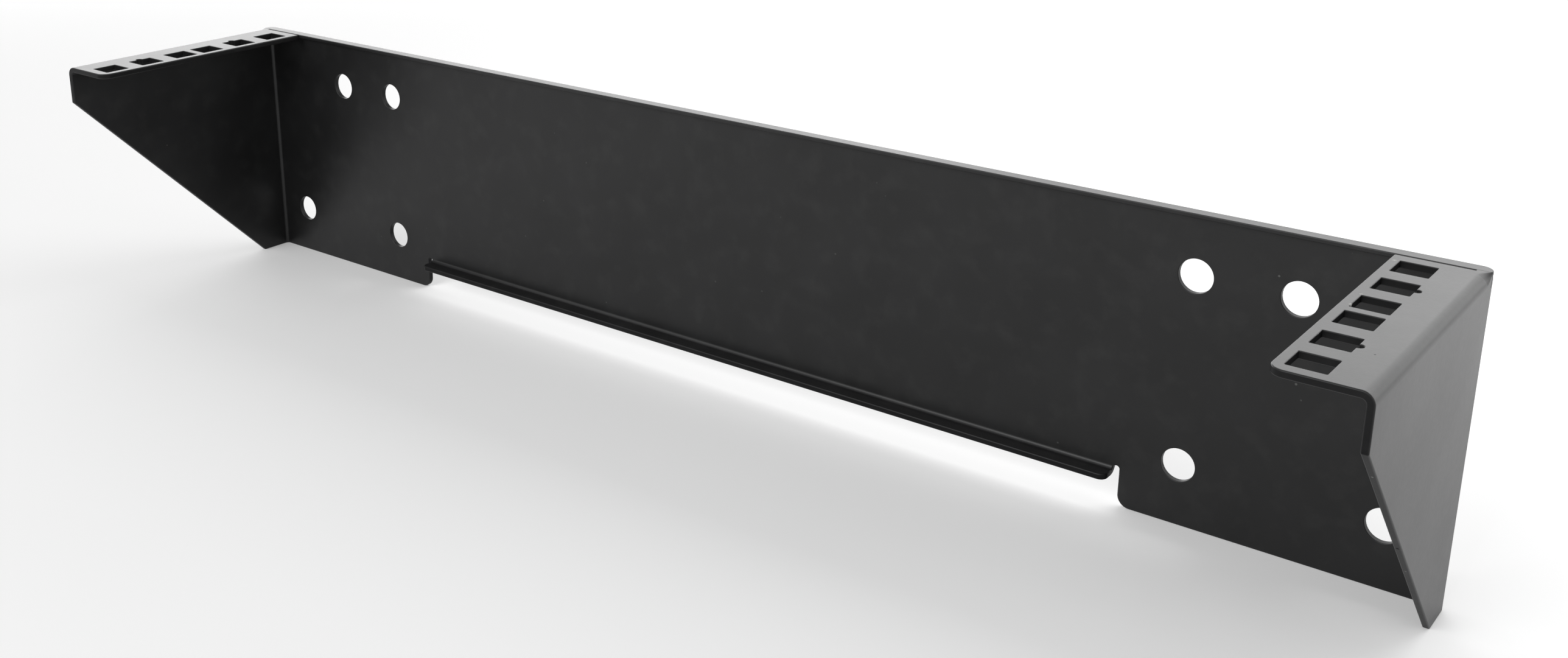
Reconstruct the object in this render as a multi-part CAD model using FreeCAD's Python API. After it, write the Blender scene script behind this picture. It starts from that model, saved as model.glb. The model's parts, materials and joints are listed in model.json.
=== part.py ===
import FreeCAD, Part
import os
from FreeCAD import Vector

# Vertical wall bracket for rack equipment: one folded steel sheet.
# +X runs along the wall plate, +Y points into the wall, +Z is up.
# The origin is the middle of the wall-hole pattern, on the face that meets the wall.
# All sizes are in millimetres.

# Sheet and folds
sheet = 2.0                # thickness, powder coat included
bend_inner = 1.3           # inside radius of every fold

# Rack pattern: two rows of square holes, three holes in each rack unit
units = 2                  # rack units taken by the pattern
unit_height = 44.45        # one rack unit
holes_per_unit = 3
square_hole = 9.5          # side of a square hole
rack_opening = 450.0       # clear width between the two flanges
row_inset = 7.55           # from a flange's free edge to the middle of its hole row

# Flanges
flange_width = 24.0        # from the wing's outer face to the flange's free edge
end_margin = 2.225         # flange beyond the rack units at either end
flange_corner = 4.0        # radius of the flange's front free corner
notch_width = 2.4          # mark in the outer side of each unit's middle hole
notch_depth = 1.5
relief_width = 0.8         # slit between the flange fold and the upright fold
tongue = 1.55              # flat of the wing between that slit and the upright fold

# Wings and wall plate
height = 99.0              # wall plate at its two end tabs
front_land = 14.5          # upright front edge of a wing, below its top
foot_land = 14.5           # level lower edge of a wing, from the wall face
tab_width = 95.5           # end tab, from the wing's outer face
tab_drop = 10.0            # tabs below the underside of the stiffening lip
tab_corner = 4.0
lip_depth = 8.0            # front of the lip, from the wall face
lip_corner = 2.5
slot_width = 2.2           # relief between the lip's end and the tab

# Screw holes in the wall plate, mirrored left and right
screw_hole = 10.5          # diameter
screw_edge = 19.5          # from the plate's top and from the tabs' lower edges to the hole rows
screw_inset = 18.0         # from a tab's two sides to its inner and outer holes

# Values that follow from the ones above
bend_outer = sheet + bend_inner
first_hole = unit_height / 7
hole_step = unit_height * 5 / 14
row_middle = rack_opening / 2 + row_inset
half_width = rack_opening / 2 + flange_width
setback = bend_outer + tongue + relief_width
depth = setback + units * unit_height + 2 * end_margin
top = height / 2
bottom = -height / 2
lip_under = bottom + tab_drop
tab_inner = half_width - tab_width
lip_end = tab_inner - slot_width
lip_fold = lip_under + bend_outer
slot_middle = tab_inner - slot_width / 2
slot_shoulder = lip_fold - slot_width / 2
past = 2 * sheet           # how far a cutting solid runs past a face


def block(x0, x1, y0, y1, z0, z1):
    """A solid block between two corners."""
    return Part.makeBox(x1 - x0, y1 - y0, z1 - z0, Vector(x0, y0, z0))


def leaf(corners):
    """A flat face through its corners."""
    return Part.Face(Part.makePolygon(corners + corners[:1]))


def fold(section, axis_point, axis):
    """A quarter fold: the sheet's cross-section turned about the fold's axis."""
    return section.revolve(axis_point, axis, -90)


def rod(radius, length, start, axis):
    """A round bar that cuts a hole or a rounded end."""
    return Part.makeCylinder(radius, length, start, axis)


def rounded(solid, radius, point, axis):
    """Round the straight edges that lie on the line through a point."""
    picked = []
    for edge in solid.Edges:
        ends = [v.Point for v in edge.Vertexes]
        if len(ends) == 2 and all((p - point).cross(axis).Length < 1e-6 for p in ends):
            picked.append(edge)
    return solid.makeFillet(radius, picked)


def wall_plate():
    """The flat against the wall, cut away at the bottom to leave its two end tabs."""
    end = half_width - bend_outer
    low = bottom - past
    plate = block(-end, end, -sheet, 0, bottom, top)
    plate = plate.cut(block(-slot_middle, slot_middle, -past, past, low, lip_fold))
    plate = plate.cut(block(-tab_inner, tab_inner, -past, past, low, slot_shoulder))
    for side in (-1, 1):
        plate = rounded(plate, tab_corner, Vector(side * tab_inner, 0, bottom), Vector(0, 1, 0))
    return plate


def stiffening_lip():
    """The narrow lip folded forward between the tabs; its fold reaches the middle of each slot."""
    section = leaf([
        Vector(-slot_middle, -sheet, lip_fold),
        Vector(slot_middle, -sheet, lip_fold),
        Vector(slot_middle, 0, lip_fold),
        Vector(-slot_middle, 0, lip_fold),
    ])
    bend = fold(section, Vector(0, -bend_outer, lip_fold), Vector(1, 0, 0))
    flat = block(-lip_end, lip_end, -lip_depth, -bend_outer, lip_under, lip_under + sheet)
    for side in (-1, 1):
        flat = rounded(flat, lip_corner, Vector(side * lip_end, -lip_depth, 0), Vector(0, 0, 1))
    return bend.fuse(flat)


def relief_slot():
    """The right-hand round-topped slot that frees the lip's end from the tab."""
    reach = lip_depth + 2 * past
    upright = block(lip_end, tab_inner, past - reach, past, bottom - past, slot_shoulder)
    start = Vector(slot_middle, past - reach, slot_shoulder)
    return upright.fuse(rod(slot_width / 2, reach, start, Vector(0, 1, 0)))


def wing():
    """The right-hand wing: upright fold, flat with its slanting front, and slit under the flange."""
    end = half_width - bend_outer
    section = leaf([
        Vector(end, -sheet, bottom),
        Vector(end, 0, bottom),
        Vector(end, 0, top),
        Vector(end, -sheet, top),
    ])
    upright = fold(section, Vector(end, -bend_outer, 0), Vector(0, 0, 1))
    inner = half_width - sheet
    fold_line = top - bend_outer
    side = leaf([
        Vector(inner, -bend_outer, bottom),
        Vector(inner, -foot_land, bottom),
        Vector(inner, -depth, top - front_land),
        Vector(inner, -depth, fold_line),
        Vector(inner, -setback + relief_width, fold_line),
        Vector(inner, -setback + relief_width, top),
        Vector(inner, -bend_outer, top),
    ])
    flat = side.extrude(Vector(sheet, 0, 0))
    slit = Vector(inner - past, -setback + relief_width / 2, fold_line)
    flat = flat.cut(rod(relief_width / 2, sheet + 2 * past, slit, Vector(1, 0, 0)))
    return upright.fuse(flat)


def flange():
    """The right-hand flange: fold along the wing's top and the flat that carries the rack holes."""
    inner = half_width - sheet
    fold_line = top - bend_outer
    free_edge = half_width - flange_width
    section = leaf([
        Vector(inner, -depth, fold_line),
        Vector(half_width, -depth, fold_line),
        Vector(half_width, -setback, fold_line),
        Vector(inner, -setback, fold_line),
    ])
    bend = fold(section, Vector(half_width - bend_outer, 0, fold_line), Vector(0, 1, 0))
    flat = block(free_edge, half_width - bend_outer, -depth, -setback, top - sheet, top)
    flat = rounded(flat, flange_corner, Vector(free_edge, -depth, 0), Vector(0, 0, 1))
    return bend.fuse(flat)


def rack_holes():
    """The right-hand row of square holes, each unit's middle one with its mark."""
    x = row_middle
    half = square_hole / 2
    cutters = []
    for unit in range(units):
        for number in range(holes_per_unit):
            y = -(setback + end_margin + unit * unit_height + first_hole + number * hole_step)
            z0, z1 = top - sheet - past, top + past
            cutters.append(block(x - half, x + half, y - half, y + half, z0, z1))
            if number == holes_per_unit // 2:
                reach = x + half + notch_depth - notch_width / 2
                wide = notch_width / 2
                cutters.append(block(x, reach, y - wide, y + wide, z0, z1))
                cutters.append(rod(wide, z1 - z0, Vector(reach, y, z0), Vector(0, 0, 1)))
    return cutters


def screw_holes():
    """The right-hand screw holes through the wall plate; the upper outer one is half way along the tab."""
    upper = top - screw_edge
    lower = bottom + screw_edge
    inner = tab_inner + screw_inset
    outer = half_width - screw_inset
    places = [(inner, upper), ((inner + outer) / 2, upper), (inner, lower), (outer, lower)]
    return [rod(screw_hole / 2, 2 * past, Vector(x, -past, z), Vector(0, 1, 0)) for x, z in places]


def mirrored(shape):
    """The same shape on the other side of the middle plane."""
    return shape.mirror(Vector(0, 0, 0), Vector(1, 0, 0))


def bracket():
    """The whole folded sheet as one solid."""
    side = wing().fuse(flange())
    body = wall_plate().multiFuse([stiffening_lip(), side, mirrored(side)])
    holes = rack_holes() + screw_holes() + [relief_slot()]
    body = body.cut(holes + [mirrored(h) for h in holes])
    body = body.removeSplitter()
    return body.Solids[0]


os.makedirs("parts", exist_ok=True)
wall_bracket = bracket()
wall_bracket.exportStep("parts/wall_bracket.step")
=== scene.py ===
import json
import math
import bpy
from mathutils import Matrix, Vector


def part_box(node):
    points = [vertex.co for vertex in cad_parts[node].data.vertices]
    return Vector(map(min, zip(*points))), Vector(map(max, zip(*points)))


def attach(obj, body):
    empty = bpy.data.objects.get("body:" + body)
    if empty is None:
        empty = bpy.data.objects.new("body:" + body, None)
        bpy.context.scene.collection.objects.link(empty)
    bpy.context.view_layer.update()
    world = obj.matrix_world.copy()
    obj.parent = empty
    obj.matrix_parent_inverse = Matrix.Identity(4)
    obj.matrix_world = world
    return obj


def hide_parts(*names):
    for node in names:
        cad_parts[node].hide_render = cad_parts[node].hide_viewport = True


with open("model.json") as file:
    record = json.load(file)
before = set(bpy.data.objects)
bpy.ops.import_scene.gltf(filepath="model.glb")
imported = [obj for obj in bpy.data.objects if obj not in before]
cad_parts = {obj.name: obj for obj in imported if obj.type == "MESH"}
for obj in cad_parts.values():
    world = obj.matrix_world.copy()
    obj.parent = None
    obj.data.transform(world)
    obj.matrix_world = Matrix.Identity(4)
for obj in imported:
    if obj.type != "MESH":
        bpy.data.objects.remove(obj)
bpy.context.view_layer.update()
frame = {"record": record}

from types import SimpleNamespace

import bpy
import numpy as np
from bpy.props import FloatProperty, FloatVectorProperty, IntProperty, PointerProperty
from mathutils import Vector
from mathutils.geometry import delaunay_2d_cdt

bl_info = {
    "name": "Rack wall bracket",
    "version": (1, 0, 0),
    "blender": (4, 5, 0),
    "location": "View3D > Sidebar > Bracket",
    "description": "Folded wall bracket for rack equipment, with its powder coat and a studio stage",
    "category": "Object",
}

NODE = "wall_bracket"
BODY = "root"
LOW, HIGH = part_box(NODE)
MOUNTS = {mount["name"]: mount for mount in frame["record"]["mounts"]}
MM = 0.001
QUARTER = math.pi / 2

# Step that keeps the faces of two shells out of one plane
HAIR = 0.03 * MM
# Points nearer than this are one point: in metres, and for the triangulation in millimetres
SAME = 1e-6
SAME_MM = 1e-6
# Kind of triangulation: only triangles inside the outer edge
INSIDE_OUTLINE = 1
# A side that rises less than this runs along u, and one that runs less than this goes up along v
LEVEL = 1e-9
# Decimals of a metre to which lengths along a closed path are told apart, and its seam in metres
DECIMALS = 8
SEAM = 1e-7
# A fold line that crosses a side within this share of its ends is left to the end's own point
NEAR_END = 0.02
# Distance between the holes in a rack unit, as a share of the unit
HOLE_STEP = 5 / 14
# Width of the camera's sensor in millimetres, and the nearest distance that it sees in metres
SENSOR_WIDTH = 36
NEAREST_SEEN = 0.01

# Ranges of noise: where most of it lies, where smudges fade in, and where the grain breaks up a chip
CLOUDY = (0.3, 0.7)
SMUDGED = (0.5, 0.75)
RAGGED = (0.35, 0.5)
# How far a chip covers the coat, from where the grain breaks it up to where it is whole
CHIP_COVER = (0.3, 1)
# The whole range of a share
WHOLE = (0, 1)

# Soft lamps: name, place, point faced, width and height in metres, and brightness, where 1 looks white
LAMPS = (
    ("back_right_softbox", (1.25, 1.25, 0.37), (0, 0, 0), 1.0, 0.7, 1.8),
    ("back_softbox", (-0.46, 1.70, 0.37), (0, 0, 0), 1.0, 0.7, 1.7),
    ("back_left_softbox", (-1.137, 1.355, 0.37), (0, 0, 0), 0.86, 0.7, 3.0),
    ("left_softbox", (-1.663, 0.605, 0.37), (0, 0, 0), 1.0, 0.7, 3.2),
    ("right_softbox", (1.70, 0, 0.59), (0, 0, 0), 1.2, 0.8, 1.2),
    ("rear_fill_softbox", (0.395, 1.858, 0.5), (0, 0, 0), 1.1, 1.0, 1.1),
    ("front_softbox", (-0.27, -1.55, 0.87), (0, 0, 0), 1.2, 0.8, 5.2),
    ("floor_softbox", (0.26, 0.42, 0.36), (0.26, 0.42, 0), 0.7, 0.35, 3.0),
)

# Chips and nicks seen on the coat: place on the bracket and radius, in millimetres, and strength
PALE_MARKS = (
    (226.5, -10, 49.5, 0.7, 0.8),
    (228, -49, 49.5, 0.9, 1.0),
    (227.5, -40.5, 49.5, 0.6, 0.7),
    (228, -72.5, 49.5, 0.4, 0.7),
    (195, -2, 35.5, 0.4, 0.16),
    (203, -2, 5, 0.45, 0.14),
    (248, -46.5, -17.5, 0.35, 0.3),
    (248, -90, 26, 0.35, 0.3),
)
DARK_NICKS = (
    (228.5, -50, 49.5, 0.4, 0.7),
    (242, -77.5, 49.5, 0.3, 0.4),
    (248, -58, -6, 0.5, 0.8),
)


class SheetSizes(bpy.types.PropertyGroup):
    """Sizes of the folded sheet that its box and its mounts don't give."""

    sheet: FloatProperty(
        name="Sheet", description="Thickness of the sheet with its coat", default=2 * MM, unit="LENGTH")
    bend_inner: FloatProperty(
        name="Fold radius", description="Inside radius of every fold", default=1.3 * MM, unit="LENGTH")
    edge_round: FloatProperty(
        name="Edge rounding", description="Radius that the coat leaves on cut edges", default=0.42 * MM,
        unit="LENGTH")
    rim_round: FloatProperty(
        name="Rim rounding", description="Radius that the coat leaves on punched rims", default=0.28 * MM,
        unit="LENGTH")
    corner_round: FloatProperty(
        name="Corner rounding", description="Radius of the sharp corners in the outline", default=0.6 * MM,
        unit="LENGTH")
    hole_corner: FloatProperty(
        name="Hole corner", description="Radius of the square holes' corners", default=0.3 * MM,
        unit="LENGTH")
    flange_width: FloatProperty(
        name="Flange width", description="From the wing's outer face to the flange's free edge",
        default=24 * MM, unit="LENGTH")
    flange_corner: FloatProperty(
        name="Flange corner", description="Radius of the flange's front free corner", default=4 * MM,
        unit="LENGTH")
    setback: FloatProperty(
        name="Flange setback", description="From the wall face to the flange's rear edge",
        default=5 * MM, unit="LENGTH")
    ledge_depth: FloatProperty(
        name="Ledge depth", description="Front of the ledge along the plate's top, from the wall face",
        default=4.5 * MM, unit="LENGTH")
    ledge_thick: FloatProperty(
        name="Ledge thickness", description="Thickness of that ledge", default=1.4 * MM, unit="LENGTH")
    ledge_round: FloatProperty(
        name="Ledge rounding", description="Radius of that ledge's edges", default=0.35 * MM, unit="LENGTH")
    ledge_corner: FloatProperty(
        name="Ledge corner", description="Radius of the ledge's front corners", default=0.9 * MM,
        unit="LENGTH")
    drawn_length: FloatProperty(
        name="Drawn corner", description="Length over which the fold's rear end rises to the tongue",
        default=5 * MM, unit="LENGTH")
    relief: FloatProperty(
        name="Slit", description="Width of the slit between the flange fold and the upright fold",
        default=0.8 * MM, unit="LENGTH")
    front_land: FloatProperty(
        name="Front land", description="Upright front edge of a wing, below its top", default=14.5 * MM,
        unit="LENGTH")
    foot_land: FloatProperty(
        name="Foot land", description="Level lower edge of a wing, from the wall face",
        default=14.5 * MM, unit="LENGTH")
    tab_width: FloatProperty(
        name="Tab width", description="End tab, from the wing's outer face", default=95.5 * MM,
        unit="LENGTH")
    tab_drop: FloatProperty(
        name="Tab drop", description="Tabs below the underside of the lip", default=10 * MM, unit="LENGTH")
    tab_corner: FloatProperty(
        name="Tab corner", description="Radius of a tab's inner lower corner", default=4 * MM,
        unit="LENGTH")
    lip_depth: FloatProperty(
        name="Lip depth", description="Front of the lip, from the wall face", default=8 * MM, unit="LENGTH")
    lip_corner: FloatProperty(
        name="Lip corner", description="Radius of the lip's front corners", default=2.5 * MM, unit="LENGTH")
    slot_width: FloatProperty(
        name="Slot", description="Width of the relief between the lip's end and the tab",
        default=2 * MM, unit="LENGTH")
    square_hole: FloatProperty(
        name="Square hole", description="Side of a square rack hole", default=9.5 * MM, unit="LENGTH")
    notch_width: FloatProperty(
        name="Notch width", description="Mark in the outer side of a unit's middle hole",
        default=2.4 * MM, unit="LENGTH")
    notch_depth: FloatProperty(
        name="Notch depth", description="Depth of that mark", default=1.5 * MM, unit="LENGTH")
    unit_height: FloatProperty(
        name="Rack unit", description="Height of one rack unit", default=44.45 * MM, unit="LENGTH")
    fold_facets: IntProperty(
        name="Fold facets", description="Flat strips in a quarter fold", default=8)
    arc_facets: IntProperty(
        name="Arc facets", description="Sides of a quarter arc in the outline", default=14)
    rim_facets: IntProperty(
        name="Rim facets", description="Strips in the quarter round of an edge", default=4)
    longest_side: FloatProperty(
        name="Longest side", description="Longest straight side of a mesh face along an edge",
        default=8 * MM, unit="LENGTH")


class CoatFinish(bpy.types.PropertyGroup):
    """Colours, sheen and grain of the powder coat."""

    colour: FloatVectorProperty(
        name="Coat colour", description="Colour of the coat", default=(0.0085, 0.0085, 0.0088),
        size=3, subtype="COLOR")
    pale: FloatVectorProperty(
        name="Chip colour", description="Colour of smudges, chips and dust", default=(0.6, 0.6, 0.58),
        size=3, subtype="COLOR")
    index: FloatProperty(
        name="Refractive index", description="Refractive index of the coat", default=1.4)
    roughness: FloatProperty(
        name="Roughness", description="Middle of the coat's roughness", default=0.38)
    roughness_spread: FloatProperty(
        name="Roughness spread", description="How far the roughness varies either way", default=0.012)
    mottle_size: FloatProperty(
        name="Mottling", description="Size of the soft cloudy patches", default=26 * MM, unit="LENGTH")
    mottle_share: FloatProperty(
        name="Mottling depth", description="How far the colour varies either way, as a share", default=0.22)
    smudge_size: FloatProperty(
        name="Smudges", description="Size of the handling smudges", default=7 * MM, unit="LENGTH")
    smudge_share: FloatProperty(
        name="Smudge strength", description="How far a smudge covers the coat", default=0.01)
    gloss: FloatProperty(
        name="Gloss", description="Strength of reflections; 0.5 is what the index gives", default=0.5)
    edge_gloss: FloatProperty(
        name="Edge gloss", description="Strength of reflections on cut edges and nicks", default=0.15)
    peel_size: FloatProperty(
        name="Orange peel", description="Size of the coat's soft waviness", default=1.7 * MM, unit="LENGTH")
    peel_depth: FloatProperty(
        name="Orange peel depth", description="Height of that waviness", default=0.006 * MM, unit="LENGTH")
    grain_size: FloatProperty(
        name="Grain", description="Size of the coat's fine grain", default=0.4 * MM, unit="LENGTH")
    grain_depth: FloatProperty(
        name="Grain depth", description="Height of the coat's fine grain", default=0.010 * MM,
        unit="LENGTH")
    dust_spacing: FloatProperty(
        name="Dust spacing", description="Mean distance between specks of dust", default=12 * MM,
        unit="LENGTH")
    dust_size: FloatProperty(
        name="Dust size", description="Radius of a speck of dust", default=0.4 * MM, unit="LENGTH")
    dust_share: FloatProperty(
        name="Dust strength", description="How far a speck covers the coat", default=0.07)
    nick_depth: FloatProperty(
        name="Nick depth", description="Depth of the dark nicks", default=0.12 * MM, unit="LENGTH")


class StudioSetup(bpy.types.PropertyGroup):
    """Camera, light from all round and floor."""

    camera_place: FloatVectorProperty(
        name="Camera place", description="Where the camera stands", default=(0.33438, -0.44068, 0.19532),
        size=3, subtype="TRANSLATION")
    camera_turn: FloatVectorProperty(
        name="Camera turn", description="The camera's tilt, roll and heading",
        default=(math.radians(72.480), math.radians(0.179), math.radians(38.699)), size=3, subtype="EULER")
    focal_length: FloatProperty(
        name="Focal length", description="Focal length on a 36 mm wide sensor, in millimetres",
        default=37.785)
    shift: FloatVectorProperty(
        name="Lens shift", description="Sideways and upward shift of the frame", default=(0.0650, -0.0856),
        size=2)
    ambient: FloatProperty(
        name="Ambient light", description="Strength of the light from all round", default=0.36)
    floor_reach: FloatProperty(
        name="Floor reach", description="Half the floor's width", default=4.0, unit="LENGTH")
    floor_colour: FloatVectorProperty(
        name="Floor colour", description="Colour of the floor", default=(0.9, 0.9, 0.9),
        size=3, subtype="COLOR")
    floor_lift: FloatProperty(
        name="Floor lift", description="Light that the floor adds where it is seen", default=0.15)


def unit_rows(vectors):
    """Each row divided by its length."""
    return vectors / np.linalg.norm(vectors, axis=-1, keepdims=True)


def outer_radius(sizes):
    """Outside radius of every fold: the inside radius and the sheet's thickness."""
    return sizes.bend_inner + sizes.sheet


def band_faces(ids):
    """Four-sided faces between the neighbouring rows of a band that closes on itself."""
    ahead = np.roll(ids, -1, axis=1)
    return np.stack([ids[:-1], ahead[:-1], ahead[1:], ids[1:]], axis=-1).reshape(-1, 4)


def blank_plan(sizes):
    """Where the folds and edges lie in the flat blank, as u along the plate and v up it.

    A quarter fold takes up the length of the sheet's middle surface in it, radius times half pi.
    Past the upright fold, u goes on along the wing; past the flange fold, v goes on along the flange.
    """
    plan = SimpleNamespace(sheet=sizes.sheet, relief=sizes.relief, top=HIGH.z, bottom=LOW.z)
    plan.middle = sizes.bend_inner + sizes.sheet / 2
    plan.turn = plan.middle * QUARTER
    outer = outer_radius(sizes)
    plan.wing = HIGH.x - outer
    plan.wall = plan.wing + plan.turn - outer
    plan.front = plan.wall - LOW.y
    plan.rear = plan.wall + sizes.setback
    plan.flange = plan.top - outer
    plan.middle_plane = plan.flange + plan.turn + plan.wing
    plan.free = plan.middle_plane - (HIGH.x - sizes.flange_width)
    plan.lip = plan.bottom + sizes.tab_drop + outer
    plan.lip_front = plan.lip - plan.turn + outer - sizes.lip_depth
    plan.tab = HIGH.x - sizes.tab_width
    plan.lip_end = plan.tab - sizes.slot_width
    plan.slot = plan.tab - sizes.slot_width / 2
    return plan


def outline_corners(sizes, plan):
    """The blank's outer corners with their radii, from the lip's right end round to its left end."""
    slot, slit, sharp = sizes.slot_width / 2, sizes.relief / 2, sizes.corner_round
    right = [
        (plan.lip_end, plan.lip_front, sizes.lip_corner),
        (plan.lip_end, plan.lip, slot),
        (plan.tab, plan.lip, slot),
        (plan.tab, plan.bottom, sizes.tab_corner),
        (plan.wall + sizes.foot_land, plan.bottom, sharp),
        (plan.front, plan.top - sizes.front_land, sharp),
        (plan.front, plan.free, sizes.flange_corner),
        (plan.rear, plan.free, sharp),
        (plan.rear, plan.flange - slit, slit),
        (plan.rear - sizes.relief, plan.flange - slit, slit),
        (plan.rear - sizes.relief, plan.top - HAIR, sharp),
    ]
    return right + [(-u, v, radius) for u, v, radius in reversed(right)]


def screw_hole_corners():
    """Corners of the square around each screw hole, with the hole's radius, clockwise."""
    loops = []
    for name in ("wall_screws_inner", "wall_screws_upper_outer", "wall_screws_lower_outer"):
        mount = MOUNTS[name]
        radius = mount["dims"]["hole_r_mm"] * MM
        reach = mount["dims"]["spacing_x_mm"] * MM / 2
        rise = mount["dims"].get("spacing_y_mm", 0) * MM / 2
        for side in (-1, 1):
            for level in sorted({-rise, rise}):
                u, v = side * reach, mount["pos_m"][2] + level
                loops.append([
                    (u - radius, v - radius, radius),
                    (u - radius, v + radius, radius),
                    (u + radius, v + radius, radius),
                    (u + radius, v - radius, radius),
                ])
    return loops


def rack_hole_corners(sizes, plan):
    """Corners of the square holes in both flanges, clockwise; a unit's middle hole has its round mark."""
    mount = MOUNTS["rack_holes_right"]
    row = plan.middle_plane - mount["pos_m"][0]
    half, wide = sizes.square_hole / 2, sizes.notch_width / 2
    sharp = sizes.hole_corner
    step = sizes.unit_height * HOLE_STEP
    loops = []
    for unit in (-0.5, 0.5):
        for number in (-1, 0, 1):
            u = plan.wall - mount["pos_m"][1] + unit * sizes.unit_height + number * step
            lower = row - half
            mark = lower - sizes.notch_depth
            notch = [
                (u + wide, lower, sharp),
                (u + wide, mark, wide),
                (u - wide, mark, wide),
                (u - wide, lower, sharp),
            ]
            loop = [(u - half, lower, sharp), (u - half, row + half, sharp)]
            loop += [(u + half, row + half, sharp), (u + half, lower, sharp)]
            loop += notch if number == 0 else []
            loops.append(loop)
            loops.append([(-a, b, radius) for a, b, radius in reversed(loop)])
    return loops


def rounded_loop(corners, facets):
    """A closed path through corners, each replaced by the arc that touches both its sides.

    The arc's centre lies on the corner's bisector, radius over the sine of half the corner away, and
    its points are the turned mean of the two directions from that centre to where the arc touches.
    """
    data = np.array(corners)
    point, radius = data[:, :2], data[:, 2:]
    back = unit_rows(np.roll(point, 1, axis=0) - point)
    ahead = unit_rows(np.roll(point, -1, axis=0) - point)
    half = np.arccos((back * ahead).sum(axis=1, keepdims=True)) / 2
    centre = point + unit_rows(back + ahead) * radius / np.sin(half)
    start = point + back * radius / np.tan(half) - centre
    end = point + ahead * radius / np.tan(half) - centre
    sweep = (math.pi - 2 * half)[:, None]
    share = np.linspace(0, 1, facets + 1)[None, :, None]
    turned = np.sin((1 - share) * sweep) * start[:, None] + np.sin(share * sweep) * end[:, None]
    path = (centre[:, None] + turned / np.sin(sweep)).reshape(-1, 2)
    gap = np.linalg.norm(path - np.roll(path, 1, axis=0), axis=1)
    return path[gap > SAME]


def divided(path, cuts, longest):
    """The same closed path with points where it crosses the fold lines and along its long sides.

    Each point is a length along the path: the path's own points, the crossings of its straight sides
    with the lines of constant u and constant v, and evenly spaced fillers that keep clear of those.
    A side over a tenth of the longest length is straight; a shorter one belongs to an arc.
    """
    closed = np.vstack([path, path[:1]])
    step = np.diff(closed, axis=0)
    length = np.linalg.norm(step, axis=1)
    along = np.concatenate([[0], np.cumsum(length)])
    straight = (length > longest / 10)[:, None]
    stations = [along]
    for axis, places in enumerate(cuts):
        level = np.abs(step[:, axis]) < LEVEL
        share = (places - closed[:-1, axis, None]) / np.where(level, np.inf, step[:, axis])[:, None]
        crossed = straight & (share > NEAR_END) & (share < 1 - NEAR_END)
        stations.append((along[:-1, None] + share * length[:, None])[crossed])
    fixed = np.unique(np.concatenate(stations).round(DECIMALS))
    filler = np.arange(longest / 2, along[-1], longest)
    clear = np.abs(filler[:, None] - fixed).min(axis=1) > longest / 3
    places = np.sort(np.concatenate([fixed, filler[clear]]))
    places = places[places < along[-1] - SEAM]
    return np.column_stack([np.interp(places, along, closed[:, axis]) for axis in (0, 1)])


def inward(path):
    """The mitre at each point of a path: a step along it moves both neighbouring sides in by one."""
    ahead = unit_rows(np.roll(path, -1, axis=0) - path)
    left = np.column_stack([-ahead[:, 1], ahead[:, 0]])
    before = np.roll(left, 1, axis=0)
    return (left + before) / (1 + (left * before).sum(axis=1, keepdims=True))


def rim_surface(path, radius, sheet, facets):
    """The rounded edge of the sheet along a path, as rows of points and normals.

    The profile is a quarter round from the outer face to the cut, and another on to the inner face:
    inset = radius (1 - sin a) and height = half the sheet - radius (1 - cos a).
    """
    angle = np.linspace(0, QUARTER, facets + 1)
    angle = np.concatenate([angle, angle[::-1]])
    side = np.repeat([1.0, -1.0], facets + 1)
    mitre = inward(path)
    inset = radius * (1 - np.sin(angle))
    height = side * (sheet / 2 - radius * (1 - np.cos(angle)))
    plane = path + inset[:, None, None] * mitre
    points = np.dstack([plane, np.broadcast_to(height[:, None], plane.shape[:2])])
    outward = -unit_rows(mitre) * np.sin(angle)[:, None, None]
    facing = np.broadcast_to((side * np.cos(angle))[:, None], plane.shape[:2])
    return points, np.dstack([outward, facing])


def inside(points, loops):
    """Which points lie in the sheet: a ray along u crosses its edges an odd number of times."""
    start = np.vstack(loops)
    end = np.vstack([np.roll(loop, -1, axis=0) for loop in loops])
    level = points[:, 1, None]
    spans = (start[:, 1] > level) != (end[:, 1] > level)
    run, rise = (end - start).T
    rise = np.where(np.abs(rise) < LEVEL, np.inf, rise)
    cross = start[:, 0] + (level - start[:, 1]) / rise * run
    return (spans & (cross > points[:, 0, None])).sum(axis=1) % 2 == 1


def fold_lines(sizes, plan):
    """Points along every fold, in rows of constant u or v, that stop short of the sheet's edges.

    The lip is about three times as long as a wing is high, so it has three times as many points.
    """
    share = np.linspace(0, 1, sizes.fold_facets + 1)
    short = 2 * sizes.edge_round
    upright = np.arange(plan.bottom + short, plan.top - short, sizes.longest_side)
    flange = np.arange(plan.rear + short, plan.front - short, sizes.longest_side)
    lip = np.linspace(-plan.lip_end + short, plan.lip_end - short, 3 * len(upright))
    lines = []
    for side in (-1, 1):
        for u in plan.wing + plan.turn * share:
            lines.append(np.column_stack([np.full_like(upright, side * u), upright]))
        for v in plan.flange + plan.turn * share:
            lines.append(np.column_stack([side * flange, np.full_like(flange, v)]))
    for v in plan.lip - plan.turn * share:
        lines.append(np.column_stack([lip, np.full_like(lip, v)]))
    return lines


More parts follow.
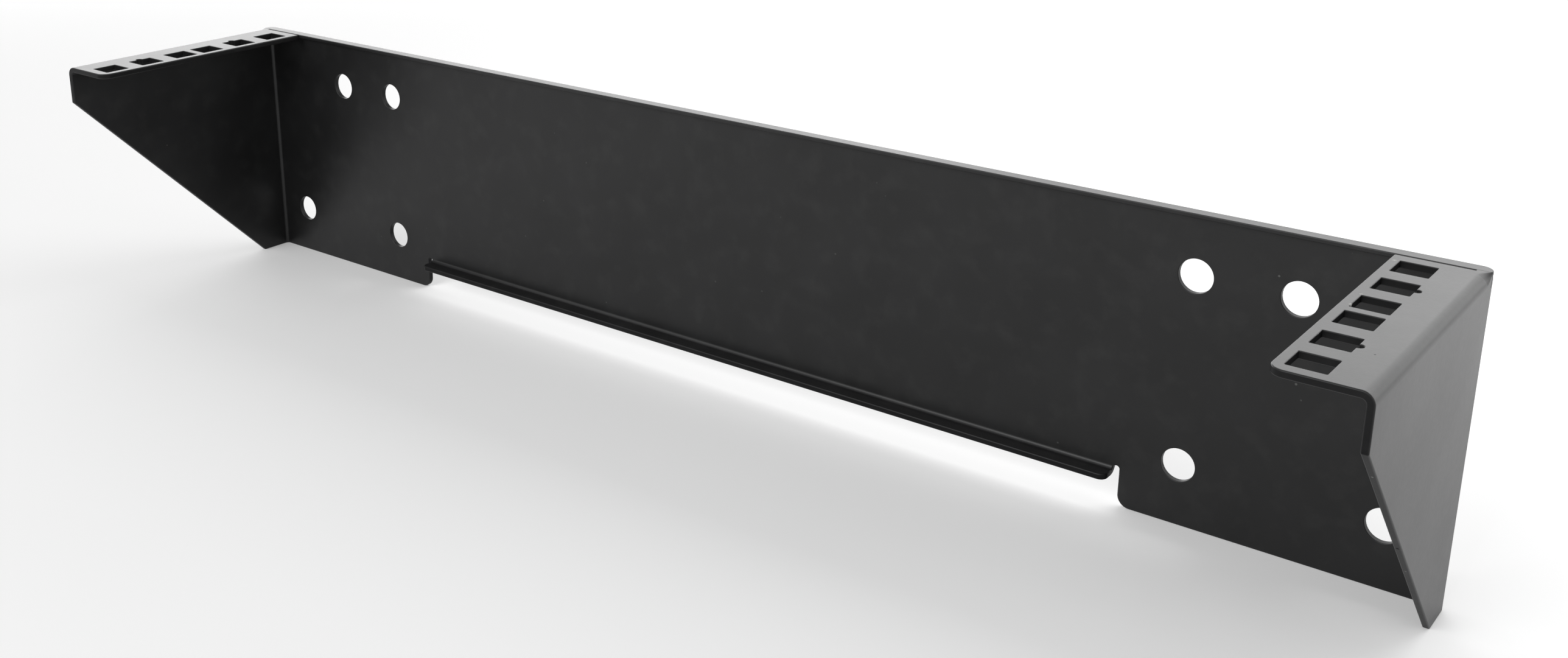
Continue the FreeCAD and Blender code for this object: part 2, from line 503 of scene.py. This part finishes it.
def skin_triangles(loops, lines):
    """Triangles that fill the sheet between its inset edges, with the fold lines as sides.

    The triangulation keeps the edges and fold lines as sides and makes its triangles as little slender as
    it can. Those whose middle lies in a hole are dropped. Points count in the order given, edges first.
    """
    points = np.vstack(loops + lines)
    counts = [len(part) for part in loops + lines]
    starts = np.cumsum([0] + counts[:-1])
    sides = []
    for index, (start, count) in enumerate(zip(starts, counts)):
        here = np.arange(start, start + count)
        ahead = np.roll(here, -1)
        closed = count if index < len(loops) else count - 1
        sides.append(np.column_stack([here, ahead])[:closed])
    spread = [Vector(point) for point in points / MM]
    sides = np.vstack(sides).tolist()
    corners, _, found, origins, _, _ = delaunay_2d_cdt(spread, sides, [], INSIDE_OUTLINE, SAME_MM)
    if len(corners) != len(points):
        raise RuntimeError("the sheet's edges and fold lines cross")
    source = np.array([origin[0] for origin in origins])
    triangles = source[np.array(found)]
    return triangles[inside(points[triangles].mean(axis=1), loops)]


def quarter_fold(along, depth, start, middle, normal_along, normal_depth):
    """Turn what lies past a fold line by a quarter about the fold's axis.

    Past the line, the sheet's middle follows an arc of the middle radius and then runs straight on;
    a point at some depth off the middle keeps that depth, and its normal turns by the same angle.
    """
    past = np.maximum(along - start, 0)
    angle = np.minimum(past / middle, QUARTER)
    straight = past - angle * middle
    cos, sin = np.cos(angle), np.sin(angle)
    reach = middle + depth
    bent = past > 0
    return (
        np.where(bent, start + reach * sin + straight * cos, along),
        np.where(bent, reach * cos - middle - straight * sin, depth),
        normal_along * cos + normal_depth * sin,
        normal_depth * cos - normal_along * sin,
    )


def fold_sheet(points, normals, plan):
    """Fold the flat blank: first the lip and the flanges, then the two wings, mirrored left and right.

    In the blank, w is how far a point lies off the sheet's middle, towards the wall.
    """
    side = np.where(points[:, 0] < 0, -1.0, 1.0)
    u, v, w = np.abs(points[:, 0]), points[:, 1], points[:, 2]
    nu, nv, nw = normals[:, 0] * side, normals[:, 1], normals[:, 2]
    lip = (u < plan.slot) & (v < plan.lip)
    flange = (u > plan.rear - plan.relief / 2) & (v > plan.flange)
    down = quarter_fold(-v, w, -plan.lip, plan.middle, -nv, nw)
    up = quarter_fold(v, w, plan.flange, plan.middle, nv, nw)
    v, w, nv, nw = [
        np.select([lip, flange], [low, high], flat)
        for low, high, flat in zip((-down[0], down[1], -down[2], down[3]), up, (v, w, nv, nw))
    ]
    x, depth, nx, ny = quarter_fold(u, w, plan.wing, plan.middle, nu, nw)
    place = np.column_stack([side * x, depth - plan.sheet / 2, v])
    return place, np.column_stack([side * nx, ny, nv])


def bar_surface(corners, top, thick, rounding, sizes):
    """A flat bar with rounded edges: points, normals and faces.

    Its plan is the loop through some corners in x and y, its sides have the profile of the sheet's
    cut edges over the bar's own thickness, and its upper and lower faces are flat.
    """
    no_folds = (np.empty(0), np.empty(0))
    path = divided(rounded_loop(corners, sizes.fold_facets), no_folds, sizes.longest_side)
    rows, facing = rim_surface(path, rounding, thick, sizes.rim_facets)
    rows[..., 2] += top - thick / 2
    height, width = rows.shape[:2]
    ids = np.arange(height * width).reshape(height, width)
    faces = band_faces(ids)[:, ::-1].tolist()
    faces += [ids[0].tolist(), ids[-1, ::-1].tolist()]
    return rows.reshape(-1, 3), facing.reshape(-1, 3), faces


def ledge_bar(sizes):
    """The narrow ledge in front of the plate's top edge.

    Its rear corners follow the upright folds; it starts a hair inside the plate's back face.
    """
    end, rear, front = HIGH.x - HAIR, HIGH.y - HAIR, HIGH.y - sizes.ledge_depth
    small, wide = sizes.ledge_corner, outer_radius(sizes)
    corners = [(-end, front, small), (end, front, small), (end, rear, wide), (-end, rear, wide)]
    return bar_surface(corners, HIGH.z, sizes.ledge_thick, sizes.ledge_round, sizes)


def drawn_corner(sizes, side):
    """The metal drawn up between a flange's fold and the tongue behind it: points, normals and faces.

    Its section is a quarter round with a leg along the flange and a leg down the wing. From the fold back
    to the tongue, the round's radius falls from the fold's to the edge rounding, by the square of the way.
    Its normal is the cross product of the slopes along the round and along that fall.
    """
    end, top, wide = HIGH.x - HAIR, HIGH.z - HAIR, outer_radius(sizes)
    share = np.linspace(0, 1, sizes.fold_facets + 1)
    fall, run = sizes.edge_round - wide, sizes.drawn_length
    radius = (wide + fall * share ** 2)[:, None]
    depth = (HIGH.y - sizes.setback + sizes.relief - run + run * share)[:, None]
    cos, sin = np.cos(QUARTER * share), np.sin(QUARTER * share)
    arc_x, arc_z = end - radius + radius * sin, top - radius + radius * cos
    near, inner = end - wide - sizes.edge_round, end - sizes.sheet + 2 * HAIR
    under, low = top - sizes.sheet + 2 * HAIR, top - wide - sizes.edge_round
    legs = np.array([(end, low), (inner, low), (inner, under), (near, under), (near, top)])
    legs = np.broadcast_to(legs, (len(share), *legs.shape))
    x, z = np.hstack([arc_x, legs[..., 0]]), np.hstack([arc_z, legs[..., 1]])
    points = np.dstack([side * x, np.broadcast_to(depth, x.shape), z])
    tilt = 2 * fall / run * share[:, None] * (sin + cos - 1)
    arc = np.dstack([np.broadcast_to(sin, tilt.shape), tilt, np.broadcast_to(cos, tilt.shape)])
    flats = np.array([(1, 0, 0), (-1, 0, 0), (-1, 0, -1), (0, 0, -1), (0, 0, 1)], dtype=float)
    around = np.hstack([arc, np.broadcast_to(flats, (len(share), *flats.shape))])
    normals = unit_rows(around) * (side, 1, 1)
    ids = np.arange(x.size).reshape(x.shape)
    faces = band_faces(ids).tolist()
    faces += [ids[0, ::-1].tolist(), ids[-1].tolist()]
    if side < 0:
        faces = [face[::-1] for face in faces]
    return points.reshape(-1, 3), normals.reshape(-1, 3), faces


def coated_sheet_mesh(sizes):
    """The whole bracket as one mesh of closed shells.

    The sheet has a rounded rim along every edge and a skin on each face, and is folded as a whole. The
    ledge and the drawn corners are shells of their own. The rim attribute is 1 on cut edges, 0 on faces.
    """
    plan = blank_plan(sizes)
    share = np.linspace(0, 1, sizes.fold_facets + 1)
    uprights = plan.wing + plan.turn * share
    cuts = (
        np.concatenate([-uprights, uprights]),
        np.concatenate([plan.flange + plan.turn * share, plan.lip - plan.turn * share]),
    )
    edges = [(outline_corners(sizes, plan), sizes.edge_round)]
    edges += [(loop, sizes.rim_round) for loop in screw_hole_corners()]
    edges += [(loop, sizes.rim_round) for loop in rack_hole_corners(sizes, plan)]
    points, normals, faces, cut_share, insets = [], [], [], [], []
    outer_ids, inner_ids, count = [], [], 0

    # Rims: a band of faces along the outline and around each hole
    for corners, radius in edges:
        path = divided(rounded_loop(corners, sizes.arc_facets), cuts, sizes.longest_side)
        rows, facing = rim_surface(path, radius, sizes.sheet, sizes.rim_facets)
        height, width = rows.shape[:2]
        ids = count + np.arange(height * width).reshape(height, width)
        faces.append(band_faces(ids))
        points.append(rows.reshape(-1, 3))
        normals.append(facing.reshape(-1, 3))
        cut_share.append(np.repeat(1 - np.abs(facing[:, 0, 2]), width))
        insets.append(rows[0, :, :2])
        outer_ids.append(ids[0])
        inner_ids.append(ids[-1])
        count += height * width

    # Skins: the same triangles on the outer and on the inner face
    lines = fold_lines(sizes, plan)
    triangles = skin_triangles(insets, lines)
    inner_count = sum(len(line) for line in lines)
    for side, rim_ids in ((1.0, outer_ids), (-1.0, inner_ids)):
        fill = np.column_stack([np.vstack(lines), np.full(inner_count, side * sizes.sheet / 2)])
        lookup = np.concatenate(rim_ids + [count + np.arange(inner_count)])
        turned = triangles[:, ::-1] if side > 0 else triangles
        faces.append(lookup[turned])
        points.append(fill)
        normals.append(np.tile([0.0, 0.0, side], (inner_count, 1)))
        cut_share.append(np.zeros(inner_count))
        count += inner_count
    place, facing = fold_sheet(np.vstack(points), np.vstack(normals), plan)
    polygons = [row for part in faces for row in part.tolist()]

    # Shells that are not folded from the blank
    shells = (ledge_bar(sizes), drawn_corner(sizes, -1), drawn_corner(sizes, 1))
    for shell_points, shell_facing, shell_faces in shells:
        polygons += [[len(place) + index for index in face] for face in shell_faces]
        place, facing = np.vstack([place, shell_points]), np.vstack([facing, shell_facing])
        cut_share.append(np.zeros(len(shell_points)))

    mesh = bpy.data.meshes.new("coated_bracket")
    mesh.from_pydata(place, [], polygons)
    mesh.shade_smooth()
    mesh.attributes.new("rim", "FLOAT", "POINT").data.foreach_set("value", np.concatenate(cut_share))
    mesh.normals_split_custom_set_from_vertices(unit_rows(facing))
    mesh.update()
    return mesh


def add_node(tree, kind, place, **values):
    """A new node with its properties and sockets set by name."""
    node = tree.nodes.new(kind)
    node.location = place
    for name, value in values.items():
        if hasattr(node, name):
            setattr(node, name, value)
        else:
            node.inputs[name.replace("_", " ").title()].default_value = value
    return node


def noise(tree, place, size, detail, at):
    """Cloudy noise of a given size on the piece's own coordinates."""
    node = add_node(tree, "ShaderNodeTexNoise", at, scale=1 / size, detail=detail)
    tree.links.new(place, node.inputs["Vector"])
    return node.outputs["Fac"]


def ramp(tree, value, source, target, at):
    """A value carried from one range to another, and held at that range's ends."""
    node = add_node(tree, "ShaderNodeMapRange", at)
    for socket, number in zip(("From Min", "From Max", "To Min", "To Max"), (*source, *target)):
        node.inputs[socket].default_value = number
    tree.links.new(value, node.inputs["Value"])
    return node.outputs["Result"]


def combine(tree, operation, first, second, at):
    """Two values joined by a sum, a product or the greater of both."""
    node = add_node(tree, "ShaderNodeMath", at, operation=operation)
    tree.links.new(first, node.inputs[0])
    tree.links.new(second, node.inputs[1])
    return node.outputs[0]


def spots(tree, place, marks, at):
    """How far small round marks cover a point: 0 outside them, and a mark's strength in its middle."""
    total = None
    for x, y, z, radius, strength in marks:
        away = add_node(tree, "ShaderNodeVectorMath", at, operation="DISTANCE")
        away.inputs[1].default_value = (x * MM, y * MM, z * MM)
        tree.links.new(place, away.inputs[0])
        share = ramp(tree, away.outputs["Value"], (radius * MM, radius * MM / 2), (0, strength), at)
        total = share if total is None else combine(tree, "MAXIMUM", total, share, at)
    return total


def specks(tree, place, spacing, radius, strength, at):
    """Scattered specks: full strength within half the radius of the points of a cell pattern."""
    cells = add_node(tree, "ShaderNodeTexVoronoi", at, scale=1 / spacing)
    tree.links.new(place, cells.inputs["Vector"])
    reach = radius / spacing
    return ramp(tree, cells.outputs["Distance"], (reach, reach / 2), (0, strength), at)


def blend(tree, share, first, second, at):
    """One colour faded into another; either may be a socket or a plain colour."""
    node = add_node(tree, "ShaderNodeMix", at, data_type="RGBA")
    tree.links.new(share, node.inputs["Factor"])
    # Inputs 6 and 7 and output 2 of this node are its colours
    for socket, colour in zip(node.inputs[6:8], (first, second)):
        if isinstance(colour, bpy.types.NodeSocket):
            tree.links.new(colour, socket)
        else:
            socket.default_value = (*colour, 1)
    return node.outputs[2]


def raised(tree, height, depth, under, at):
    """Fine relief of a given depth on top of the relief so far."""
    node = add_node(tree, "ShaderNodeBump", at, distance=depth)
    tree.links.new(height, node.inputs["Height"])
    if under is not None:
        tree.links.new(under, node.inputs["Normal"])
    return node.outputs["Normal"]


def powder_coat(finish):
    """Satin black powder coat: cloudy colour, smudges, grain, matt cut edges, chips, nicks and dust."""
    material = bpy.data.materials.new("black_powder_coat")
    material.use_nodes = True
    tree = material.node_tree
    link = tree.links.new
    shader = tree.nodes["Principled BSDF"]
    shader.inputs["IOR"].default_value = finish.index
    place = add_node(tree, "ShaderNodeTexCoord", (-1600, 0)).outputs["Object"]
    rim = add_node(tree, "ShaderNodeAttribute", (-1600, -600), attribute_name="rim").outputs["Fac"]
    mottle = noise(tree, place, finish.mottle_size, detail=3, at=(-1300, 400))
    smudge = noise(tree, place, finish.smudge_size, detail=5, at=(-1300, 200))
    peel = noise(tree, place, finish.peel_size, detail=1, at=(-1300, 0))
    grain = noise(tree, place, finish.grain_size, detail=2, at=(-1300, -200))

    dust = specks(tree, place, finish.dust_spacing, finish.dust_size, finish.dust_share, (-1300, -700))
    light = spots(tree, place, PALE_MARKS, (-1300, -900))
    light = combine(tree, "MAXIMUM", light, dust, (-1050, -900))
    dark = spots(tree, place, DARK_NICKS, (-1300, -1200))
    ragged = ramp(tree, grain, RAGGED, CHIP_COVER, (-1050, 0))
    chipped = combine(tree, "MULTIPLY", light, ragged, (-800, -900))

    share = finish.mottle_share
    deep = [channel * (1 - share) for channel in finish.colour]
    high = [channel * (1 + share) for channel in finish.colour]
    clouds = ramp(tree, mottle, CLOUDY, WHOLE, (-1050, 400))
    haze = ramp(tree, smudge, SMUDGED, (0, finish.smudge_share), (-1050, 200))
    clouded = blend(tree, clouds, deep, high, (-800, 400))
    hazy = blend(tree, haze, clouded, finish.pale, (-550, 400))
    link(blend(tree, chipped, hazy, finish.pale, (-50, 400)), shader.inputs["Base Color"])

    middle, spread = finish.roughness, finish.roughness_spread
    sheen = ramp(tree, mottle, CLOUDY, (middle - spread, middle + spread), (-800, 0))
    wavy = ramp(tree, peel, CLOUDY, (-spread / 2, spread / 2), (-800, -200))
    rough = combine(tree, "ADD", sheen, wavy, (-550, 0))
    dull_chip = ramp(tree, chipped, WHOLE, (0, 1 - middle), (-550, -900))
    rough = combine(tree, "ADD", rough, dull_chip, (-300, 0))
    dull_nick = ramp(tree, dark, WHOLE, (0, 1 - middle), (-300, -1100))
    link(combine(tree, "ADD", rough, dull_nick, (-50, 0)), shader.inputs["Roughness"])
    matt = combine(tree, "MAXIMUM", dark, rim, (-300, -700))
    gloss = ramp(tree, matt, WHOLE, (finish.gloss, finish.edge_gloss), (-50, -700))
    link(gloss, shader.inputs["Specular IOR Level"])

    relief = raised(tree, peel, finish.peel_depth, None, (-550, -400))
    relief = raised(tree, grain, finish.grain_depth, relief, (-300, -400))
    sunk = ramp(tree, dark, WHOLE, (1, 0), (-300, -1200))
    link(raised(tree, sunk, finish.nick_depth, relief, (-50, -400)), shader.inputs["Normal"])
    return material


def seen_directly(tree):
    """1 for what the camera, a reflection or a clear piece shows, and 0 for light that falls on things."""
    path = add_node(tree, "ShaderNodeLightPath", (-600, 200))
    seen = path.outputs["Is Camera Ray"]
    seen = combine(tree, "MAXIMUM", seen, path.outputs["Is Glossy Ray"], (-400, 200))
    return combine(tree, "MAXIMUM", seen, path.outputs["Is Transmission Ray"], (-200, 200))


def floor_material(setup):
    """Pale studio floor: diffuse, so it keeps the shadow, and lifted a little where it is seen."""
    material = bpy.data.materials.new("studio_floor")
    material.use_nodes = True
    tree = material.node_tree
    shader = tree.nodes["Principled BSDF"]
    shader.inputs["Base Color"].default_value = (*setup.floor_colour, 1)
    shader.inputs["Roughness"].default_value = 1.0
    shader.inputs["Specular IOR Level"].default_value = 0.0
    shader.inputs["Emission Color"].default_value = (1, 1, 1, 1)
    lift = ramp(tree, seen_directly(tree), WHOLE, (0, setup.floor_lift), (0, 200))
    tree.links.new(lift, shader.inputs["Emission Strength"])
    return material


def studio_world(setup):
    """White of strength 1 where it is seen, and a plain level of light on the object and the floor."""
    world = bpy.data.worlds.new("studio_world")
    world.use_nodes = True
    tree = world.node_tree
    background = tree.nodes["Background"]
    background.inputs["Color"].default_value = (1, 1, 1, 1)
    level = ramp(tree, seen_directly(tree), WHOLE, (setup.ambient, 1), (0, 200))
    tree.links.new(level, background.inputs["Strength"])
    return world


def area_lamp(name, place, aim, width, tall, brightness):
    """A soft rectangular lamp that faces a point; its power is pi times its area times its brightness."""
    light = bpy.data.lights.new(name, "AREA")
    light.shape = "RECTANGLE"
    light.size, light.size_y = width, tall
    light.energy = math.pi * width * tall * brightness
    lamp = bpy.data.objects.new(name, light)
    lamp.location = place
    lamp.rotation_euler = (Vector(aim) - Vector(place)).to_track_quat("-Z", "Y").to_euler()
    lamp.visible_camera = False
    bpy.context.scene.collection.objects.link(lamp)


class BRACKET_OT_coated_sheet(bpy.types.Operator):
    """Make the folded, powder coated sheet"""

    bl_idname = "bracket.coated_sheet"
    bl_label = "Folded sheet"

    def execute(self, context):
        scene = context.scene
        piece = bpy.data.objects.new("coated_bracket", coated_sheet_mesh(scene.bracket_sizes))
        scene.collection.objects.link(piece)
        piece.data.materials.append(powder_coat(scene.bracket_coat))
        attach(piece, BODY)
        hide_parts(NODE)
        return {"FINISHED"}


class BRACKET_OT_studio(bpy.types.Operator):
    """Set up the floor, the soft lamps, the white world and the camera"""

    bl_idname = "bracket.studio"
    bl_label = "Studio stage"

    def execute(self, context):
        scene = context.scene
        setup = scene.bracket_studio
        reach = setup.floor_reach
        floor_mesh = bpy.data.meshes.new("studio_floor")
        corners = [(-reach, -reach), (reach, -reach), (reach, reach), (-reach, reach)]
        floor_mesh.from_pydata([(x, y, LOW.z) for x, y in corners], [], [(0, 1, 2, 3)])
        floor_mesh.materials.append(floor_material(setup))
        floor = bpy.data.objects.new("studio_floor", floor_mesh)
        scene.collection.objects.link(floor)

        scene.world = studio_world(setup)
        for lamp in LAMPS:
            area_lamp(*lamp)

        camera_data = bpy.data.cameras.new("photo_camera")
        camera_data.sensor_width = SENSOR_WIDTH
        camera_data.lens = setup.focal_length
        camera_data.shift_x, camera_data.shift_y = setup.shift
        camera_data.clip_start = NEAREST_SEEN
        camera = bpy.data.objects.new("photo_camera", camera_data)
        camera.location = setup.camera_place
        camera.rotation_euler = setup.camera_turn
        scene.collection.objects.link(camera)
        scene.camera = camera
        scene.view_settings.view_transform = "Standard"
        return {"FINISHED"}


class BRACKET_PT_panel(bpy.types.Panel):
    """The bracket's settings and steps"""

    bl_idname = "BRACKET_PT_panel"
    bl_label = "Rack wall bracket"
    bl_space_type = "VIEW_3D"
    bl_region_type = "UI"
    bl_category = "Bracket"

    def draw(self, context):
        scene = context.scene
        for group in (scene.bracket_sizes, scene.bracket_coat, scene.bracket_studio):
            column = self.layout.column()
            for name in group.__annotations__:
                column.prop(group, name)
        self.layout.operator("bracket.coated_sheet")
        self.layout.operator("bracket.studio")


CLASSES = (
    SheetSizes,
    CoatFinish,
    StudioSetup,
    BRACKET_OT_coated_sheet,
    BRACKET_OT_studio,
    BRACKET_PT_panel,
)


def register():
    """Add the classes and the scene's settings."""
    for cls in CLASSES:
        bpy.utils.register_class(cls)
    bpy.types.Scene.bracket_sizes = PointerProperty(type=SheetSizes)
    bpy.types.Scene.bracket_coat = PointerProperty(type=CoatFinish)
    bpy.types.Scene.bracket_studio = PointerProperty(type=StudioSetup)


def unregister():
    """Take the settings and the classes out again."""
    del bpy.types.Scene.bracket_sizes
    del bpy.types.Scene.bracket_coat
    del bpy.types.Scene.bracket_studio
    for cls in reversed(CLASSES):
        bpy.utils.unregister_class(cls)


def main():
    register()
    bpy.ops.bracket.coated_sheet()
    bpy.ops.bracket.studio()


if __name__ == "__main__":
    main()
